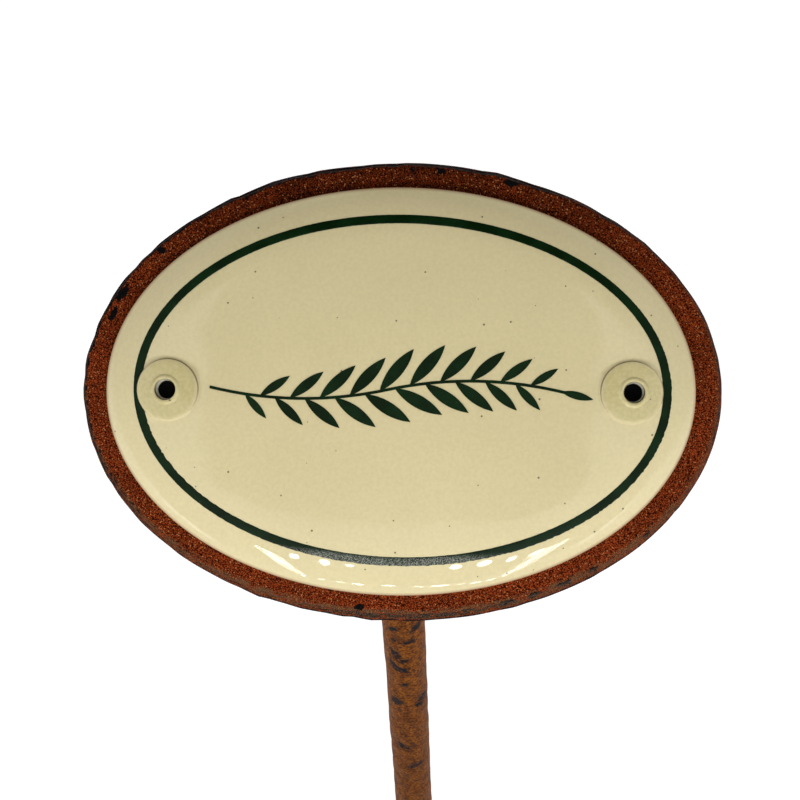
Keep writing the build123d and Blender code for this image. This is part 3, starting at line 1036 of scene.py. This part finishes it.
# Painted sheen along the middle of the line's lower side
dusty_reach = dusty_half_length - dusty_slant * across_line
dusty = np.clip((dusty_reach - np.abs(line_x - dusty_middle)) / dusty_fade, 0, 1)
dusty = dusty * (line_up < 0) * np.clip((dusty_across - across_line) / dusty_across_fade, 0, 1)
attribute(line_piece, "dusty", dusty.ravel())

# The sprig
# A dark-green enamel sprig, printed and fired with the line. It fills the middle of the flat field. The
# CAD piece has its true outline and thickness, so it stays, with the line's own enamel.
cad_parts["sign_sprig_print"].material_slots[0].material = green_finish

# The camera
# It looks at the sign nearly square on, from a little to the right of its middle and a little below it.
# Its place is in the plate's own directions: right, up and out. The picture is 800 pixels square.
camera_place = (0.01256, -0.00542, 0.3036)
camera_turn = (-0.013, -0.041, -0.007)
focal_pixels = 1787.6
picture_pixels = 800
sensor_width = 36.0


def world_point(place):
    """A point of the row's frame from a place in the plate's directions."""
    return Vector(on_face(*[np.array(p) for p in place]))


turn_x, turn_y, turn_z = [Matrix.Rotation(turn, 3, axis) for turn, axis in zip(camera_turn, "XYZ")]
into_camera = turn_z @ turn_y @ turn_x
face_axes = Matrix([face_right, face_up, face_out]).transposed()
camera_data = bpy.data.cameras.new("camera")
camera_data.sensor_width = sensor_width
camera_data.lens = focal_pixels * sensor_width / picture_pixels
camera_data.clip_start = 0.01
camera = bpy.data.objects.new("camera", camera_data)
camera.matrix_world = (face_axes @ into_camera.transposed()).to_4x4()
camera.location = world_point(camera_place)
bpy.context.scene.collection.objects.link(camera)
bpy.context.scene.camera = camera

# The floor and the world
# A plain white floor under the point of the bar, in a tent. The camera sees the tent as plain white.
# Reflections see it brightest low down, dimmer further up, and dark overhead and in an opening round the
# camera. All else is lit by an even fill light. The floor glows more further away, where it meets the white,
# and keeps the soft shadow near the bar. Directions in the tent are shares of a unit vector.
floor_drop = 0.001
floor_half = 6.0
floor_glow = 0.46
far_glow = 0.76
far_from = 0.6
far_to = 2.5
fill_light = 0.278
wall_glow = 0.5
wall_low = 0.2
wall_high = 0.42
overhead_low = 0.85
overhead_high = 0.90
opening_middle = -0.04
opening_half = 0.1075
opening_edge = 0.002
opening_low = 0.785
low_glow = 1.6
front_glow = 0.95
front_edge = 0.547
front_edge_soft = 0.004
front_from = 0.75
front_to = 0.93
front_way = (-0.088, face_out[1], face_out[2])
paper_tone = 0.85
dark_tone = 0.004


def seen_directly(paint):
    """1 for rays from the camera, and 1 for reflected and refracted ones, as two wires."""
    camera_ray = paint.node("ShaderNodeLightPath")
    glossy_ray = paint.node("ShaderNodeLightPath", output=3)
    through_ray = paint.node("ShaderNodeLightPath", output=6)
    return camera_ray, glossy_ray.larger(through_ray)


floor_paint = material("white_paper")
by_camera, by_mirror = seen_directly(floor_paint)
away = floor_paint.node("ShaderNodeVectorMath", {"operation": "LENGTH"}, {0: floor_paint.place()}, 1)
paper_glow = by_camera.larger(by_mirror) * floor_paint.rise(away, far_from, far_to, floor_glow, far_glow)
paper = floor_paint.node("ShaderNodeBsdfDiffuse", None, {"Color": (*[paper_tone] * 3, 1)})
glow = floor_paint.node("ShaderNodeEmission", None, {"Color": (1, 1, 1, 1), "Strength": paper_glow})
both_layers = floor_paint.node("ShaderNodeAddShader", None, {0: paper, 1: glow})
floor_paint.node("ShaderNodeOutputMaterial", None, {"Surface": both_layers})
floor_height = tip_height - floor_drop
floor_mesh = bpy.data.meshes.new("floor")
floor_sides = (-floor_half, floor_half)
floor_corners = [(x, y, floor_height) for x in floor_sides for y in floor_sides]
floor_mesh.from_pydata(floor_corners, [], [(0, 2, 3, 1)])
floor_mesh.materials.append(floor_paint.owner)
floor = bpy.data.objects.new("floor", floor_mesh)
bpy.context.scene.collection.objects.link(floor)

world = bpy.data.worlds.new("studio")
bpy.context.scene.world = world
sky = Paint(world)
direction = sky.node("ShaderNodeTexCoord")
sideways = sky.node("ShaderNodeSeparateXYZ", None, {0: direction})
upward = sky.node("ShaderNodeSeparateXYZ", None, {0: direction}, 2)
off_middle = sky.node("ShaderNodeMath", {"operation": "ABSOLUTE"}, {0: sideways - opening_middle})
opening = sky.rise(off_middle, opening_half + opening_edge, opening_half - opening_edge)
opening = opening * sky.rise(upward, opening_low - opening_edge, opening_low + opening_edge)
dark = opening.larger(sky.rise(upward, overhead_low, overhead_high))
along_front = {0: direction, 1: front_way}
toward_front = sky.node("ShaderNodeVectorMath", {"operation": "DOT_PRODUCT"}, along_front, 1)
in_front = sky.rise(toward_front, front_edge - front_edge_soft, front_edge + front_edge_soft)
on_wall = sky.rise(upward, wall_low, wall_high).larger(in_front)
wall = sky.tint((1, 1, 1), sky.rise(toward_front, front_from, front_to, wall_glow, front_glow))
walls = sky.mix(on_wall, (*[low_glow] * 3, 1), wall)
surround = sky.mix(dark, walls, (*[dark_tone] * 3, 1))
by_camera, by_mirror = seen_directly(sky)
lit_from = sky.mix(by_mirror, (*[fill_light] * 3, 1), surround)
lit_from = sky.mix(by_camera, lit_from, (1, 1, 1, 1))
backdrop = sky.node("ShaderNodeBackground", None, {"Color": lit_from})
sky.node("ShaderNodeOutputWorld", None, {"Surface": backdrop})

# The lamps
# A wide soft panel stands close in front of the sign and low, so that the lower rim is bright and the upper
# one dim, and large panels stand further off at both sides and above. Reflections don't show the panels.
# Small elliptic lamps make the glints, the streaks and the soft bands in the rim. Each is placed where a
# glint at a chosen pixel needs it: the camera's ray is reflected there in the rim.

# The panels: distance, tilt off the sign's axis and turn round it from straight below, both in degrees,
# size, and brightness, where 1 is that of paper shown as white
panels = [
    ("near_panel", 0.12, 36, 0, (0.30, 0.06), 3.1),
    ("right_panel", 1.5, 80, 90, (1.0, 0.6), 3.5),
    ("left_panel", 1.5, 80, 270, (1.0, 0.6), 3.5),
    ("upper_panel", 1.5, 80, 180, (1.0, 0.6), 3.3),
]
lamp_distance = 1.3
taper = 0.65
ray_steps = 8
slope_step = 0.00002

# The two streaks, as rows of strokes: the pixels of the first and of the last stroke's middle, from a
# stroke's middle to its end in pixels, the number of strokes, their thickness in pixels, and their
# brightness. The strokes are shorter at a row's ends
streaks = [
    ((255, 545.5), (305, 576), (2.8, -3.1), 22, 1.0, 32),
    ((567, 540), (503, 576), (2.4, 3.0), 26, 1.0, 32),
]

# The glints, and the soft bands at the rim's sides: the pixel of the middle, from there to the end in
# pixels, thickness in pixels, and brightness
glints = [
    (295, 556.5, 5.0, 1.6, 5.0, 20), (324.5, 562.5, 4.5, 1.6, 5.5, 20), (350, 566, 5.0, 0.6, 2.5, 18),
    (456, 567, 6.5, -0.8, 4.5, 20), (484, 563.5, 7.0, -2.2, 5.0, 20), (511, 559, 5.5, -2.6, 3.6, 18),
    (537, 552, 8.5, -4.0, 2.6, 16), (322, 579.5, 4, 0.5, 1.1, 10), (340, 582, 4.5, 0.6, 1.1, 12),
    (357.5, 584, 6.5, 0.7, 1.3, 22), (388, 585.5, 7.5, 0.3, 1.2, 18), (419, 586.5, 5.5, 0, 1.1, 12),
    (441, 585.5, 9.5, -0.5, 1.3, 22), (462, 584, 4, -0.4, 1.0, 10), (475, 582.5, 6, -1.0, 1.1, 16),
    (491, 579.5, 5.5, -1.7, 1.2, 14),
]
bands = [
    (135, 461, 6, 10, 2.0, 1.0), (152, 485, 8, 11, 2.5, 1.4), (170, 506, 9, 10, 3.0, 1.8),
    (190, 523, 10, 8.5, 3.0, 1.8), (210, 538, 10, 7, 3.0, 1.4), (650, 479, 8, -12, 2.5, 1.2),
    (630, 503, 9.5, -10.5, 3.0, 1.5), (610, 522, 10, -9, 3.0, 1.5), (589, 538, 10, -7, 3.0, 1.3),
]


def mirror_ray(pixel):
    """Where the camera's ray through a pixel meets the dome, and its direction after it is reflected there,
    both in the plate's directions. The surface's slope comes from small differences of its height."""
    right, down = (pixel - picture_pixels / 2) / focal_pixels
    ray = np.array(into_camera.transposed() @ Vector((right, -down, -1)).normalized())
    start = np.array(camera_place)
    height = field_height
    for _ in range(ray_steps):
        spot = start + ray * (height - start[2]) / ray[2]
        height = float(dome_height(spot[0], spot[1]))
    steps = slope_step * np.eye(2)
    higher = dome_height(*(spot[:2] + steps).T) - dome_height(*(spot[:2] - steps).T)
    normal = np.append(-higher / (2 * slope_step), 1)
    normal /= np.linalg.norm(normal)
    return spot, ray - 2 * ray @ normal * normal


def lamp(name, place, target, long_way, size, brightness, shape="RECTANGLE"):
    """A rectangular or elliptic lamp that faces its target, with its first axis along long_way. Its power is
    pi times its area times its brightness."""
    data = bpy.data.lights.new(name, "AREA")
    data.shape = shape
    data.size, data.size_y = size
    area = size[0] * size[1] * (pi / 4 if shape == "ELLIPSE" else 1)
    data.energy = pi * area * brightness
    made = bpy.data.objects.new(name, data)
    back = (place - target).normalized()
    up = back.cross(long_way).normalized()
    made.matrix_world = Matrix([up.cross(back), up, back]).transposed().to_4x4()
    made.location = place
    made.visible_camera = False
    bpy.context.scene.collection.objects.link(made)
    return made


sign_middle = world_point((0, 0, field_height))
for name, distance, tilt, turn, size, brightness in panels:
    away_share = sin(radians(tilt))
    way = (away_share * sin(radians(turn)), -away_share * cos(radians(turn)), cos(radians(tilt)))
    place = world_point([distance * share for share in way])
    panel = lamp(name, place, sign_middle, Vector((0, 0, 1)).cross(place - sign_middle), size, brightness)
    panel.visible_glossy = False
strokes = []
for first, last, half_stroke, count, thickness, brightness in streaks:
    for share in np.linspace(0, 1, count):
        pixel = (1 - share) * np.array(first) + share * np.array(last)
        stroke = np.array(half_stroke) * (1 - taper * cos(pi * share) ** 2)
        strokes.append((pixel, stroke, thickness, brightness))
for right, down, half_right, half_down, thickness, brightness in glints + bands:
    strokes.append((np.array([right, down]), np.array([half_right, half_down]), thickness, brightness))
for number, (pixel, stroke, thickness, brightness) in enumerate(strokes):
    beside = np.array([-stroke[1], stroke[0]]) / np.linalg.norm(stroke) * thickness / 2
    corners = []
    for step in (-stroke, stroke, -beside, beside):
        spot, bounce = mirror_ray(pixel + step)
        corners.append(np.array(world_point(spot + bounce * lamp_distance)))
    sides = np.stack([corners[1] - corners[0], corners[3] - corners[2]], 1)
    axes, lengths, _ = np.linalg.svd(sides)
    middle = Vector((corners[0] + corners[1]) / 2)
    lamp(f"glint_{number}", middle, world_point(spot), Vector(axes[:, 0]), lengths, brightness, "ELLIPSE")

bpy.context.scene.view_settings.view_transform = "Standard"
